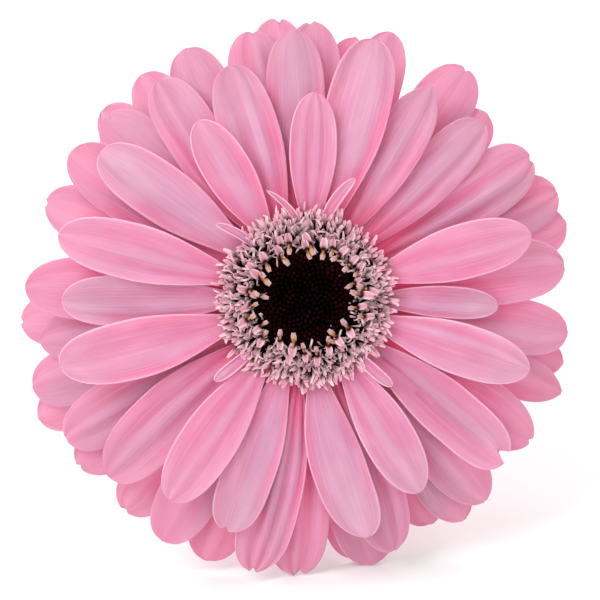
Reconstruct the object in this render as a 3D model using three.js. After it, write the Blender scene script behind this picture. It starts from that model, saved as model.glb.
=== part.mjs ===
// A cut gerbera: a pink flower head on its leafless stem, laid down on a table.
// Millimetres, +Z up. The face looks towards -Y and a little upwards, and the stem runs back
// along +Y. The origin is on the table, under the middle of the flower's bounding box.
//
// The head frame holds everything but the stem: +Z leaves the face along the head's axis,
// +Y points to the head's top, and the origin is in the middle of the receptacle's upper face.
import * as THREE from "three";

// ---- Driving dimensions, in mm and degrees ------------------------------------------------
const GAP = 0.3; // between pieces that touch

const FACE_TILT = 22; // how far the face looks up from level
const FOOT_RAYS = ["ray_back_09", "ray_middle_10"]; // the two rays that the head rests on
const MOST_ROLL = 20; // the feet are levelled by rolling the head less than this

const RECEPTACLE_RADIUS = 11;
const RECEPTACLE_DEPTH = 12; // from the upper face down to the neck
const SHOULDER_RADIUS = 8;
const SHOULDER_HEIGHT = 3; // above the neck
const NECK_RADIUS = 3;

const RAY_THICKNESS = 0.6;
const RAY_BASE_WIDTH = 1.6;
const RAY_TIP_WIDTH = 1.5;
const RAY_WIDEST_AT = 0.62; // share of the length where a ray is widest
const TIP_FULLNESS = 2.6; // how blunt the front rays' tips are: 2 is an ellipse
const FULLNESS_RISE = 0.35; // how much blunter they get with each level
const RAY_RISE = 0.24; // slope at which the front rays leave the rim
const RAY_ARCH = 0.0042; // how fast that slope bends back down, per mm
const BACK_LEVEL = 6; // levels are counted from 0 at the front
const LEVEL_GAP = 0.15; // between two levels of rays at the rim
const LEVEL_FAN = 0.034; // how much that gap grows for each mm outwards
const TIP_DROOP = 0.3; // extra droop of the tips, for each level
const FRONT_CUP = 0.7; // how far the front rays' edges turn up
const CUP_FALL = 0.25; // how much less they do so, for each level
const RAY_BEND = 0.9; // most sideways curve of a ray's tip
const RAY_ROLL = 2.5; // most turn about a ray's own length
const RAY_LIFT = 0.35; // most rise or drop of a tip
const RAY_STEPS = 6;
const RAY_STRIPS = 4;

const BUD_RADIUS = 7.9; // the dark eye of closed florets
const BUD_HEIGHT = 4.6;
const FLORET_HEIGHT = 7.2; // the ring of small open florets
const FLORET_REACH = 18.5;

const BRACT_COUNT = 18;
const BRACT_FIT = 0.8; // between the receptacle and the cup of bracts
const BRACT_WALL = 0.8;
const BRACT_REACH = 15;
const BRACT_TOOTH = 4.2; // depth of the gaps between the bract tips
const BRACT_DROP = 1.5; // how far the bottoms of those gaps hang below the tips
const BRACT_SEGMENTS = 2; // for each bract

const STEM_RUN = 205; // along the table, from the neck to the cut end
const STEM_SWAY = 14; // to the side at the cut end
const STEM_MIDDLE_RADIUS = 2.6;
const STEM_FOOT_RADIUS = 3.3;
const STEM_EASE = 0.42; // share of the run over which each end keeps its direction
const STEM_LEAN = 0.8; // share of the sway that the foot points along
const CUT_SLANT = 35;
const STEM_SIDES = 10;
const STEM_STEPS = 24;

const LEVEL_STEP = RAY_THICKNESS + LEVEL_GAP;
const RIM_HEIGHT = BACK_LEVEL * LEVEL_STEP + RAY_THICKNESS + GAP; // all rays grow from this rim

// ---- The rays: bearing clockwise from the head's top, reach from the axis, width, level ---
// Level 0 is the front of the head. A ray lies in front of those with a higher level.
const RAYS = {
  front: [
    [3, 41, 9.6, 0],
    [73, 46.6, 11.2, 0],
    [91, 38.4, 6.6, 1],
    [108.5, 46.8, 10.6, 0],
    [127.5, 51.6, 11.4, 1],
    [149, 44.9, 10.6, 0],
    [167, 49, 11.4, 1],
    [197.5, 49.2, 10.6, 1],
    [214.5, 48.6, 11.6, 0],
    [252, 50.8, 12.2, 0],
    [269, 48.8, 10.4, 1],
    [285.5, 51, 11.6, 0],
    [306.5, 50.4, 11.8, 1],
    [328.5, 41.4, 9.8, 0],
  ],
  middle: [
    [15.5, 53.6, 13, 1],
    [31, 49.4, 10.5, 2],
    [46, 50.1, 11.5, 3],
    [59, 53.5, 13, 4],
    [82, 52.2, 13, 2],
    [97, 53.1, 11.5, 3],
    [121.5, 53.6, 12.5, 2],
    [137.5, 54.5, 12, 3],
    [160, 53.6, 12, 2],
    [181.5, 55.8, 12.5, 3],
    [187.5, 55.9, 11.5, 2],
    [210.5, 56.8, 12.5, 3],
    [231, 53.4, 13, 2],
    [240, 55.9, 12.5, 3],
    [273, 56.4, 13, 2],
    [301, 55.6, 13, 2],
    [324.5, 52.8, 11.5, 2],
    [341, 49, 12, 1],
    [356.5, 53.8, 12, 2],
  ],
  back: [
    [2, 55.8, 12, 3],
    [18, 56.4, 11, 4],
    [35, 56.8, 13, 5],
    [66.5, 55.1, 12.5, 5],
    [103.5, 53.7, 9.5, 5],
    [109.5, 54.9, 9.5, 4],
    [143.5, 55, 11, 4],
    [149.5, 52.3, 12, 5],
    [165, 55.4, 13, 4],
    [200.5, 56.7, 12.5, 4],
    [220, 56.7, 12, 5],
    [233.5, 57.3, 12.5, 4],
    [246, 59.7, 11.5, 6],
    [252, 58.3, 12.5, 5],
    [261.5, 54.5, 11, 4],
    [266, 58.3, 12, 6],
    [290, 56, 12.5, 3],
    [313, 54.5, 12, 4],
    [322.5, 56.2, 11.5, 5],
    [333, 55.8, 12.5, 3],
    [348, 55, 12, 4],
    [353.5, 57, 11, 5],
  ],
};

// ---- Colours and finishes -----------------------------------------------------------------
const finish = (color, roughness) =>
  new THREE.MeshStandardMaterial({ color, roughness, metalness: 0 });
const PETAL_PINK = finish(0xf0a5c6, 0.55);
const BUD_MAROON = finish(0x1c070c, 0.7);
const FLORET_LILAC = finish(0xd9b0c0, 0.6);
const BRACT_GREEN = finish(0x6f8a3f, 0.65);
const STEM_GREEN = finish(0x8ba653, 0.6);

// ---- Helpers ------------------------------------------------------------------------------
const radians = THREE.MathUtils.degToRad;

// A small steady variation from -1 to 1, so that no two rays are quite alike.
const variation = (index, kind) => Math.sin(index * 12.9 + kind * 4.1);

function named(name, geometry, material) {
  const mesh = new THREE.Mesh(geometry, material);
  mesh.name = name;
  return mesh;
}

// Moves every vertex of a geometry by a function that changes the vector it is given.
function shaped(geometry, place) {
  const position = geometry.getAttribute("position");
  const vertex = new THREE.Vector3();
  for (let i = 0; i < position.count; i++) {
    vertex.fromBufferAttribute(position, i);
    place(vertex);
    position.setXYZ(i, vertex.x, vertex.y, vertex.z);
  }
  geometry.computeVertexNormals();
  return geometry;
}

// A body of revolution about the head's axis, from [radius, height] points.
function turned(points, segments) {
  const profile = points.map(([radius, height]) => new THREE.Vector2(radius, height));
  return new THREE.LatheGeometry(profile, segments).rotateX(Math.PI / 2);
}

// ---- Ray florets --------------------------------------------------------------------------
// Half the width of a ray as a share of its greatest half width, u from 0 at the rim to 1.
function rayOutline(u, width, level) {
  const base = RAY_BASE_WIDTH / width;
  const tip = RAY_TIP_WIDTH / width;
  if (u < RAY_WIDEST_AT) {
    return base + (1 - base) * Math.sin((Math.PI / 2) * (u / RAY_WIDEST_AT));
  }
  const past = (u - RAY_WIDEST_AT) / (1 - RAY_WIDEST_AT);
  return Math.max(tip, Math.sqrt(1 - past ** (TIP_FULLNESS + FULLNESS_RISE * level)));
}

// Height of a ray's middle line at a distance along it, for a ray on this level.
function rayHeight(along, level, length) {
  const front = RAY_RISE * along - RAY_ARCH * along * along;
  const droop = TIP_DROOP * level * (along / length) ** 3;
  return front - level * (LEVEL_STEP + LEVEL_FAN * along) - droop - RAY_THICKNESS / 2 - GAP;
}

// A subdivided plate whose vertices are moved onto the ray: x along it, y across, z through.
function rayGeometry([bearing, reach, width, level], index) {
  const start = RECEPTACLE_RADIUS + GAP;
  const length = reach - start;
  const outward = new THREE.Vector3(Math.sin(radians(bearing)), Math.cos(radians(bearing)), 0);
  const across = new THREE.Vector3(-outward.y, outward.x, 0);
  const bend = RAY_BEND * variation(index, 1);
  const roll = Math.tan(radians(RAY_ROLL * variation(index, 2)));
  const lift = RAY_LIFT * variation(index, 3);
  const cup = FRONT_CUP - CUP_FALL * level;
  const plate = new THREE.BoxGeometry(1, 1, 1, RAY_STEPS, RAY_STRIPS, 1);
  return shaped(plate, (vertex) => {
    const u = Math.sin((Math.PI / 2) * (vertex.x + 0.5));
    const v = 2 * vertex.y;
    const along = u * length;
    const side = v * (width / 2) * rayOutline(u, width, level);
    const open = Math.sin(Math.PI * u) ** 0.5;
    const height =
      rayHeight(along, level, length) +
      cup * v * v * open +
      roll * side +
      lift * u * u +
      vertex.z * RAY_THICKNESS;
    vertex
      .copy(outward)
      .multiplyScalar(start + along)
      .addScaledVector(across, side + bend * u * u);
    vertex.z = height;
  });
}

// ---- Receptacle, disc and bracts ----------------------------------------------------------
function receptacleGeometry() {
  return turned(
    [
      [0, -RECEPTACLE_DEPTH],
      [NECK_RADIUS, -RECEPTACLE_DEPTH],
      [SHOULDER_RADIUS, -RECEPTACLE_DEPTH + SHOULDER_HEIGHT],
      [RECEPTACLE_RADIUS, -RIM_HEIGHT],
      [RECEPTACLE_RADIUS, 0],
      [0, 0],
    ],
    36,
  );
}

function budEyeGeometry() {
  return turned(
    [
      [0, GAP],
      [BUD_RADIUS, GAP],
      [BUD_RADIUS, BUD_HEIGHT * 0.5],
      [BUD_RADIUS * 0.82, BUD_HEIGHT * 0.78],
      [BUD_RADIUS * 0.5, BUD_HEIGHT * 0.95],
      [0, BUD_HEIGHT],
    ],
    32,
  );
}

// The open florets stand on the rim of the disc and lean out over the feet of the rays.
function floretRingGeometry() {
  const inner = BUD_RADIUS + GAP;
  const overRays = (radius) => RAY_RISE * (radius - RECEPTACLE_RADIUS) + FRONT_CUP + 2 * GAP;
  const lip = RECEPTACLE_RADIUS + 1.5;
  return turned(
    [
      [inner, GAP],
      [RECEPTACLE_RADIUS, GAP],
      [lip, overRays(lip)],
      [FLORET_REACH - 0.4, overRays(FLORET_REACH)],
      [FLORET_REACH, FLORET_HEIGHT * 0.6],
      [FLORET_REACH * 0.8, FLORET_HEIGHT * 0.9],
      [FLORET_REACH * 0.6, FLORET_HEIGHT],
      [inner, FLORET_HEIGHT * 0.88],
      [inner, GAP],
    ],
    36,
  );
}

// A cup of bracts around the receptacle: one wall whose rim is cut into pointed bract tips.
function involucreGeometry() {
  const inside = (radius) => radius + BRACT_FIT;
  const outside = (radius) => radius + BRACT_FIT + BRACT_WALL;
  const foot = -RECEPTACLE_DEPTH - BRACT_WALL;
  const shoulder = -RECEPTACLE_DEPTH + SHOULDER_HEIGHT;
  const collar = -RIM_HEIGHT - BRACT_FIT;
  const tips = -RIM_HEIGHT - GAP;
  const cup = turned(
    [
      [inside(NECK_RADIUS), foot],
      [outside(NECK_RADIUS), foot],
      [outside(SHOULDER_RADIUS), shoulder - BRACT_WALL],
      [outside(RECEPTACLE_RADIUS), collar - BRACT_WALL],
      [BRACT_REACH, tips - BRACT_WALL],
      [BRACT_REACH - 0.2, tips],
      [inside(RECEPTACLE_RADIUS), collar],
      [inside(SHOULDER_RADIUS), shoulder],
      [inside(NECK_RADIUS), foot],
    ],
    BRACT_COUNT * BRACT_SEGMENTS,
  );
  return shaped(cup, (vertex) => {
    const radius = Math.hypot(vertex.x, vertex.y);
    const turn = (Math.atan2(vertex.y, vertex.x) / (2 * Math.PI)) * BRACT_COUNT;
    const between = 2 * Math.abs(turn - Math.round(turn));
    const past = Math.max(0, (radius - RECEPTACLE_RADIUS) / (BRACT_REACH - RECEPTACLE_RADIUS));
    const cut = between * Math.min(1, past) ** 2;
    vertex.x *= (radius - BRACT_TOOTH * cut) / radius;
    vertex.y *= (radius - BRACT_TOOTH * cut) / radius;
    vertex.z -= BRACT_DROP * cut;
  });
}

// ---- Stem ---------------------------------------------------------------------------------
// Leaves the neck along the head's axis and comes down to lie level on the table.
function stemPath(head) {
  const neck = head.localToWorld(new THREE.Vector3(0, 0, -RECEPTACLE_DEPTH - GAP));
  const inside = head.localToWorld(new THREE.Vector3(0, 0, 0));
  const leaving = neck.clone().sub(inside).normalize();
  const foot = new THREE.Vector3(STEM_SWAY, neck.y + STEM_RUN, STEM_FOOT_RADIUS);
  return new THREE.CubicBezierCurve3(
    neck,
    neck.clone().addScaledVector(leaving, STEM_RUN * STEM_EASE),
    foot.clone().add(new THREE.Vector3(-STEM_SWAY * STEM_LEAN, -STEM_RUN * STEM_EASE, 0)),
    foot,
  );
}

function stemRadius(u) {
  const neckPart = (1 - u) ** 3 * (NECK_RADIUS - STEM_MIDDLE_RADIUS);
  const footPart = u ** 2 * (STEM_FOOT_RADIUS - STEM_MIDDLE_RADIUS);
  return STEM_MIDDLE_RADIUS + neckPart + footPart;
}

function stemGeometry(path) {
  const rod = new THREE.CylinderGeometry(1, 1, 1, STEM_SIDES, STEM_STEPS);
  const slant = Math.tan(radians(CUT_SLANT));
  return shaped(rod, (vertex) => {
    const u = Math.min(1, Math.max(0, 0.5 - vertex.y));
    const centre = path.getPointAt(u);
    const tangent = path.getTangentAt(u);
    const right = new THREE.Vector3(1, 0, 0).addScaledVector(tangent, -tangent.x).normalize();
    const down = new THREE.Vector3().crossVectors(tangent, right);
    const side = vertex.x * stemRadius(u);
    const drop = vertex.z * stemRadius(u);
    vertex.copy(centre).addScaledVector(right, side).addScaledVector(down, drop);
    if (u === 1) vertex.addScaledVector(tangent, drop * slant);
  });
}

// ---- Assembly -----------------------------------------------------------------------------
const lowest = (object) => new THREE.Box3().setFromObject(object, true).min.z;

// Rolls the head about its axis until both foot rays come equally low.
function levelFeet(head) {
  const [left, right] = FOOT_RAYS.map((name) => head.getObjectByName(name));
  let low = -MOST_ROLL;
  let high = MOST_ROLL;
  for (let step = 0; step < 40; step++) {
    const middle = (low + high) / 2;
    head.rotation.z = radians(middle);
    head.updateMatrixWorld(true);
    if (lowest(left) > lowest(right)) high = middle;
    else low = middle;
  }
}

const head = new THREE.Group();
head.add(named("receptacle", receptacleGeometry(), BRACT_GREEN));
head.add(named("involucre", involucreGeometry(), BRACT_GREEN));
head.add(named("bud_eye", budEyeGeometry(), BUD_MAROON));
head.add(named("floret_ring", floretRingGeometry(), FLORET_LILAC));
let rayIndex = 0;
for (const [row, rays] of Object.entries(RAYS)) {
  rays.forEach((ray, i) => {
    const name = `ray_${row}_${String(i + 1).padStart(2, "0")}`;
    head.add(named(name, rayGeometry(ray, rayIndex), PETAL_PINK));
    rayIndex += 1;
  });
}
head.rotation.x = radians(90 - FACE_TILT);
levelFeet(head);
head.position.z = -lowest(head);
head.updateMatrixWorld(true);

const flower = new THREE.Group();
flower.add(head);
flower.add(named("stem", stemGeometry(stemPath(head)), STEM_GREEN));
flower.updateMatrixWorld(true);
const box = new THREE.Box3().setFromObject(flower, true);
flower.position.set(-(box.min.x + box.max.x) / 2, -(box.min.y + box.max.y) / 2, -box.min.z);

export default flower;
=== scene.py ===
# %% [markdown]
# # A cut gerbera, laid on a table
# The flower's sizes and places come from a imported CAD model, which is loaded here as a fixed frame.
# Each rough CAD solid is then replaced by a finer piece that grows in the same space, with a
# material made of nodes. The cells are read from top to bottom, one piece or finish at a time.

import math

import bpy
import numpy as np
from mathutils import Matrix, Vector


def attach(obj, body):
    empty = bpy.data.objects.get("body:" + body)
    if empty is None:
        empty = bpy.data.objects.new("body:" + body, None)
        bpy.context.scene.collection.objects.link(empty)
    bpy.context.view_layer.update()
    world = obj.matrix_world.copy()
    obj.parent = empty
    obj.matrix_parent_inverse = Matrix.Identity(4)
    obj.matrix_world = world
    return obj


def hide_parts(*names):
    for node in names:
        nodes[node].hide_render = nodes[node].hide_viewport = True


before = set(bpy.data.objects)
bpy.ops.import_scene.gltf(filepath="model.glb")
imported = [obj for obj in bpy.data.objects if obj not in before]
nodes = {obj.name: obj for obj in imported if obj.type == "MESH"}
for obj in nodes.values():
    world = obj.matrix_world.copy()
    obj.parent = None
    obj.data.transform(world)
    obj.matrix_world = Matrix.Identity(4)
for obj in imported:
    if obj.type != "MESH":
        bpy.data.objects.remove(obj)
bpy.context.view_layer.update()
MM = 0.001
print("the frame holds", len(nodes), "nodes")

# %% [markdown]
# ## The head's own frame
# The head leans back on the table, so its axis is neither level nor upright. Every floret grows
# around that axis, so it pays to work in a frame of the head's own, in millimetres: Z leaves the
# face, Y points to the head's top, and the origin is in the middle of the receptacle's upper face.
# All three are measured on the CAD solids: the axis joins the middles of two round ones.


# %% Find the head's frame
def corners(name):
    """The different corner points of a CAD node, in metres."""
    mesh = nodes[name].data
    points = np.empty(len(mesh.vertices) * 3, np.float32)
    mesh.vertices.foreach_get("co", points)
    return np.unique(points.reshape(-1, 3).round(7), axis=0).astype(float)


FIRST_RAY_BEARING = math.radians(3)  # clockwise from the head's top, seen from the front

round_core = corners("receptacle")
core_middle = Vector(round_core.mean(0))
head_axis = (Vector(corners("bud_eye").mean(0)) - core_middle).normalized()
core_height = ((round_core - np.array(core_middle)) @ np.array(head_axis)).max()
head_origin = core_middle + head_axis * core_height

first_ray = corners("ray_front_01") - np.array(head_origin)
first_ray -= np.outer(first_ray @ np.array(head_axis), np.array(head_axis))
first_foot = first_ray[np.linalg.norm(first_ray, axis=1).argmin()]
head_top = Matrix.Rotation(FIRST_RAY_BEARING, 3, head_axis) @ Vector(first_foot).normalized()
head_right = head_top.cross(head_axis)

HEAD = Matrix((head_right, head_top, head_axis)).transposed().to_4x4()
HEAD.translation = head_origin
HEAD = HEAD @ Matrix.Scale(MM, 4)
print("head axis", [round(x, 3) for x in head_axis], "height", round(head_origin.z, 4))


def in_head(points):
    """World points in metres, turned into the head's frame in millimetres."""
    back = np.array(HEAD.inverted())
    return points @ back[:3, :3].T + back[:3, 3]


# %% [markdown]
# ## Writing node trees as expressions
# A node tree is easier to read as arithmetic. This small class wraps one socket. Adding or
# multiplying two of them adds the Math node that does it, and any other node comes from `add`,
# which takes the node's type, its settings and what goes into its sockets. The same class serves
# for materials and for Geometry Nodes, since both kinds of tree hold the same Math nodes.


# %% A socket that can be calculated with
def pick(sockets, key):
    """A socket by its number, or the first one in use that has this name."""
    if isinstance(key, int):
        return sockets[key]
    return next(socket for socket in sockets if socket.name == key and socket.enabled)


class Wire:
    """One socket of a node tree; arithmetic on it adds nodes."""

    def __init__(self, tree, socket=None):
        self.tree = tree
        self.socket = socket

    def add(self, kind, settings=None, sockets=None):
        """A new node: settings first, then the values or links of its sockets."""
        node = self.tree.nodes.new(kind)
        for name, value in (settings or {}).items():
            setattr(node, name, value)
        for key, value in (sockets or {}).items():
            for item in value if isinstance(value, list) else [value]:
                if isinstance(item, Wire):
                    self.tree.links.new(item.socket, pick(node.inputs, key))
                else:
                    pick(node.inputs, key).default_value = item
        return Wire(self.tree, next((s for s in node.outputs if s.enabled), None))

    def __getitem__(self, name):
        return Wire(self.tree, pick(self.socket.node.outputs, name))

    def math(self, operation, *values):
        return self.add("ShaderNodeMath", {"operation": operation}, dict(enumerate(values)))

    def __add__(self, other):
        return self.math("ADD", self, other)

    def __sub__(self, other):
        return self.math("SUBTRACT", self, other)

    def __mul__(self, other):
        return self.math("MULTIPLY", self, other)

    def __truediv__(self, other):
        return self.math("DIVIDE", self, other)

    def __pow__(self, other):
        return self.math("POWER", self, other)

    def __rsub__(self, other):
        return self.math("SUBTRACT", other, self)

    __radd__ = __add__
    __rmul__ = __mul__

    def __abs__(self):
        return self.math("ABSOLUTE", self)

    def sin(self):
        return self.math("SINE", self)

    def cos(self):
        return self.math("COSINE", self)

    def least(self, other):
        return self.math("MINIMUM", self, other)

    def most(self, other):
        return self.math("MAXIMUM", self, other)

    def floor(self):
        return self.math("FLOOR", self)

    def step(self, low, high):
        """0 below low, 1 above high, and a smooth rise between them."""
        ends = {"Value": self, "From Min": low, "From Max": high}
        return self.add("ShaderNodeMapRange", {"interpolation_type": "SMOOTHSTEP"}, ends)

    def tint(self, color, other):
        """This share of the way from one colour to another."""
        mixed = {"Factor": self, "A": color, "B": other}
        return self.add("ShaderNodeMix", {"data_type": "RGBA"}, mixed)

    def vector(self, x, y, z):
        return self.add("ShaderNodeCombineXYZ", {}, {0: x, 1: y, 2: z})


# %% [markdown]
# ## Growing a piece with Geometry Nodes
# A growing rule is a Geometry Nodes tree with named inputs for its sizes. `grow` gives the inputs
# their values by their identifiers, lets Blender work the modifier out, and keeps the result as a
# plain mesh, already in its place on the flower.


# %% Start and end of a rule
def new_rule(name, sizes):
    """An empty Geometry Nodes tree with an input for each named size."""
    tree = bpy.data.node_groups.new(name, "GeometryNodeTree")
    kinds = {int: "NodeSocketInt", float: "NodeSocketFloat"}
    for label, value in sizes.items():
        kind = kinds.get(type(value), "NodeSocketMaterial")
        socket = tree.interface.new_socket(label, in_out="INPUT", socket_type=kind)
        if value is not None:
            socket.default_value = value
    tree.interface.new_socket("Geometry", in_out="OUTPUT", socket_type="NodeSocketGeometry")
    return tree, Wire(tree, tree.nodes.new("NodeGroupInput").outputs[0])


def end_rule(geometry, given):
    """Ends a tree the way every tree here ends: real geometry, with its material."""
    solid = geometry.add("GeometryNodeRealizeInstances", {}, {"Geometry": geometry})
    sockets = {"Geometry": solid, "Material": given["Material"]}
    coated = geometry.add("GeometryNodeSetMaterial", {}, sockets)
    geometry.add("NodeGroupOutput", {}, {"Geometry": coated})


# %% From a mesh to a piece
SHARP_EDGE = math.radians(50)


def finished(name, mesh, slot, *replaced, crisp=False):
    """Links a mesh that is in its place as a piece of the flower, none of it below the table."""
    mesh.name = name
    piece = bpy.data.objects.new(name, mesh)
    bpy.context.scene.collection.objects.link(piece)
    places = np.empty(len(mesh.vertices) * 3, np.float32)
    mesh.vertices.foreach_get("co", places)
    places[2::3] = np.maximum(places[2::3], 0.0)
    mesh.vertices.foreach_set("co", places)
    mesh.shade_smooth()
    if crisp:
        mesh.set_sharp_from_angle(angle=SHARP_EDGE)
    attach(piece, "root")
    if replaced:
        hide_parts(*replaced)
    return piece


def grow(tree, values, place=HEAD, seed_mesh=None):
    """Works a rule out with these values and returns a plain mesh."""
    start = seed_mesh or bpy.data.meshes.new("seed")
    holder = bpy.data.objects.new("holder", start)
    bpy.context.scene.collection.objects.link(holder)
    modifier = holder.modifiers.new("rule", "NODES")
    modifier.node_group = tree
    for socket in tree.interface.items_tree:
        if socket.in_out == "INPUT" and socket.name in values:
            modifier[socket.identifier] = values[socket.name]
    graph = bpy.context.evaluated_depsgraph_get()
    mesh = bpy.data.meshes.new_from_object(holder.evaluated_get(graph))
    bpy.data.objects.remove(holder)
    mesh.transform(place)
    return mesh


# %% [markdown]
# ## Colours and finishes
# A petal isn't one flat pink. It is deeper at its foot, paler on its back, and drawn with fine
# veins that run its whole length, and its thin rim carries a painted highlight. Each floret carries
# values of its own that say where on it a point lies: `along` from foot to tip, `across` from edge
# to edge. A material that reads them follows the petal wherever it bends.


# %% Shared tools for materials
def ink(red, green, blue):
    """A colour from 0 to 255 as a screen shows it, turned into what the shader needs."""
    share = [c / 255 for c in (red, green, blue)]
    linear = [c / 12.92 if c < 0.04045 else ((c + 0.055) / 1.055) ** 2.4 for c in share]
    return (*linear, 1.0)


def new_finish(name, plain):
    """A material with one Principled shader; plain holds its values that never vary."""
    material = bpy.data.materials.new(name)
    material.use_nodes = True
    tree = material.node_tree
    tree.nodes.clear()
    start = Wire(tree)
    shader = start.add("ShaderNodeBsdfPrincipled", {}, plain)
    start.add("ShaderNodeOutputMaterial", {}, {"Surface": shader})
    return material, shader


def feed(shader, **inputs):
    """Links values that vary to the shader: base_color, roughness or normal."""
    for name, wire in inputs.items():
        socket = shader.socket.node.inputs[name.replace("_", " ").title()]
        shader.tree.links.new(wire.socket, socket)


def read(wire, *names):
    """Values that a mesh carries on its points or faces."""
    return [wire.add("ShaderNodeAttribute", {"attribute_name": name})["Fac"] for name in names]


def place_on(wire):
    """The place on the piece itself, in metres."""
    return wire.add("ShaderNodeTexCoord")["Object"]


def noise(wire, place, scale, detail=2.0):
    sockets = {"Vector": place, "Scale": scale, "Detail": detail}
    return wire.add("ShaderNodeTexNoise", {}, sockets)


def relief(wire, height, depth, strength=1.0):
    """A bump from a height between 0 and 1, with its real depth in metres."""
    sockets = {"Height": height, "Distance": depth, "Strength": strength}
    return wire.add("ShaderNodeBump", {}, sockets)


# %% [markdown]
# ## Petal pink
# The pink of a ray is deeper at its foot, and cooler and paler towards the
# tip. Part of it is painted light: painted shade in the grooves and on the covered sides and feet of
# the rays behind, and painted highlights on the ridges and along the rim. One could paint a picture
# and wrap it round every ray. Noise that is stretched along the ray's own `along` and `across` does
# it better: no picture has to be fitted, the veins follow each bend, and `tone` makes every ray a
# little different. Light enters a thin strap and comes out beside where it went in, so the shader's
# subsurface part is strong.


# %% Petal pink
def petal_finish():
    plain = {
        "Subsurface Weight": 0.6,
        "Subsurface Radius": (1.0, 0.22, 0.38),
        "Subsurface Scale": 0.002,
        "Specular IOR Level": 0.22,
    }
    material, shader = new_finish("petal_pink", plain)
    along, across, tone = read(shader, "along", "across", "tone")
    upper, row, ridge = read(shader, "upper", "row", "ridge")
    strand = shader.vector(across * 7 + tone * 31, along * 1.1, tone * 17)
    fine_strand = shader.vector(across * 21 + tone * 13, along * 2.4, tone * 7)
    veins = noise(shader, strand, 1.0)
    fine_veins = noise(shader, fine_strand, 1.0, 3.0)
    clouds = noise(shader, shader.vector(across * 1.2, along * 3, tone * 40), 1.0)

    # The feet of the rays behind (row 1) are a redder, deeper pink: partly their own colour, partly
    # painted shade where the front rays lie over them.
    foot = row.tint(ink(240, 138, 172), ink(250, 66, 118))
    body = along.step(0.0, 0.55).tint(foot, ink(213, 137, 169))
    body = along.step(0.5, 1.0).tint(body, ink(192, 147, 168))
    # Painted shade: the sides of the rays behind, up to about their middle, turn a deeper pink where
    # neighbouring rays cover them.
    painted_gap_shade = row * abs(across).step(0.35, 0.95) * (1 - along.step(0.55, 0.9))
    body = (painted_gap_shade * 0.5).tint(body, ink(238, 82, 132))
    # Painted shade: a deeper pink in the grooves between the flutes, fading out towards the tip.
    painted_groove_shade = (1 - ridge.step(-1.0, 0.5)) * (1 - along.step(0.45, 0.95))
    body = (painted_groove_shade * 0.32).tint(body, ink(232, 90, 136))
    body = (veins.step(0.38, 0.72) * 0.2).tint(body, ink(232, 112, 152))
    # Painted highlight: a paler pink on the ridges of the flutes, growing from near the foot.
    painted_ridge_highlight = ridge.step(-0.2, 1.0) * along.step(0.1, 0.5)
    body = (painted_ridge_highlight * 0.14).tint(body, ink(250, 202, 220))
    body = (fine_veins.step(0.45, 0.7) * 0.2).tint(body, ink(249, 196, 214))
    body = (clouds.step(0.4, 0.8) * 0.28).tint(body, ink(250, 192, 212))
    body = (tone.step(0.45, 1.0) * 0.2).tint(body, ink(234, 116, 156))
    body = (row * along.step(0.7, 1.0) * 0.4).tint(body, ink(190, 130, 153))
    # Painted highlight: a pale line along the rim; near the tips of the rays behind, the rim turns a
    # darker mauve edge colour instead.
    rim_highlight_and_edge_tint = abs(across).step(0.92, 1.0) * 0.4
    tip = row * along.step(0.55, 0.9)
    body = rim_highlight_and_edge_tint.tint(body, tip.tint(ink(252, 206, 221), ink(222, 160, 182)))
    back = (veins.step(0.3, 0.8) * 0.5).tint(ink(246, 180, 203), ink(236, 150, 180))
    folds = veins * 0.6 + fine_veins * 0.4
    feed(shader, base_color=upper.tint(back, body), roughness=0.45 + clouds * 0.16)
    feed(shader, normal=relief(shader, folds, 0.00024, 0.7))
    return material


petal_pink = petal_finish()
print(petal_pink.name, "has", len(petal_pink.node_tree.nodes), "nodes")

# %% [markdown]
# ## Dusty, rosy and nearly black
# The disc is greyer than the rays. Its outer straps are a dusty pink with dark feet, the open
# florets have rosy lips round ochre anthers, and the closed ones in the middle are so dark that
# hardly more than a maroon shine is left. Hundreds of materials could give each floret its own
# shade. It is simpler to let every copy carry a random `tone` and its `row` between the inner
# and the outer edge, and to have three finishes read them.


# %% Dusty straps
def floret_finish():
    """Dark at the foot, paler at the tip, and pinker towards the rays."""
    plain = {"Subsurface Weight": 0.1, "Subsurface Radius": (1.0, 0.6, 0.6)}
    plain.update({"Subsurface Scale": 0.0004, "Specular IOR Level": 0.35, "Sheen Weight": 0.08})
    material, shader = new_finish("dusty_pink", plain)
    along, across, tone, row = read(shader, "along", "across", "tone", "row")
    grain = noise(shader, place_on(shader), 1100.0)
    blade = row.step(0.3, 1.0).tint(ink(228, 180, 188), ink(244, 172, 196))
    blade = (tone.step(0.5, 1.0) * 0.7).tint(blade, ink(248, 224, 226))
    blade = ((1 - tone.step(0.0, 0.4)) * 0.55).tint(blade, ink(212, 144, 166))
    blade = (abs(across).step(0.45, 1.0) * 0.55).tint(blade, ink(252, 236, 236))
    color = along.step(0.25, 0.75).tint(ink(62, 12, 14), blade)
    color = (grain.step(0.4, 0.8) * 0.3).tint(color, ink(168, 108, 128))
    feed(shader, base_color=color, roughness=0.42 + grain * 0.25)
    feed(shader, normal=relief(shader, grain, 0.00008))
    return material


dusty_pink = floret_finish()
print(dusty_pink.name, "has", len(dusty_pink.node_tree.nodes), "nodes")


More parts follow.
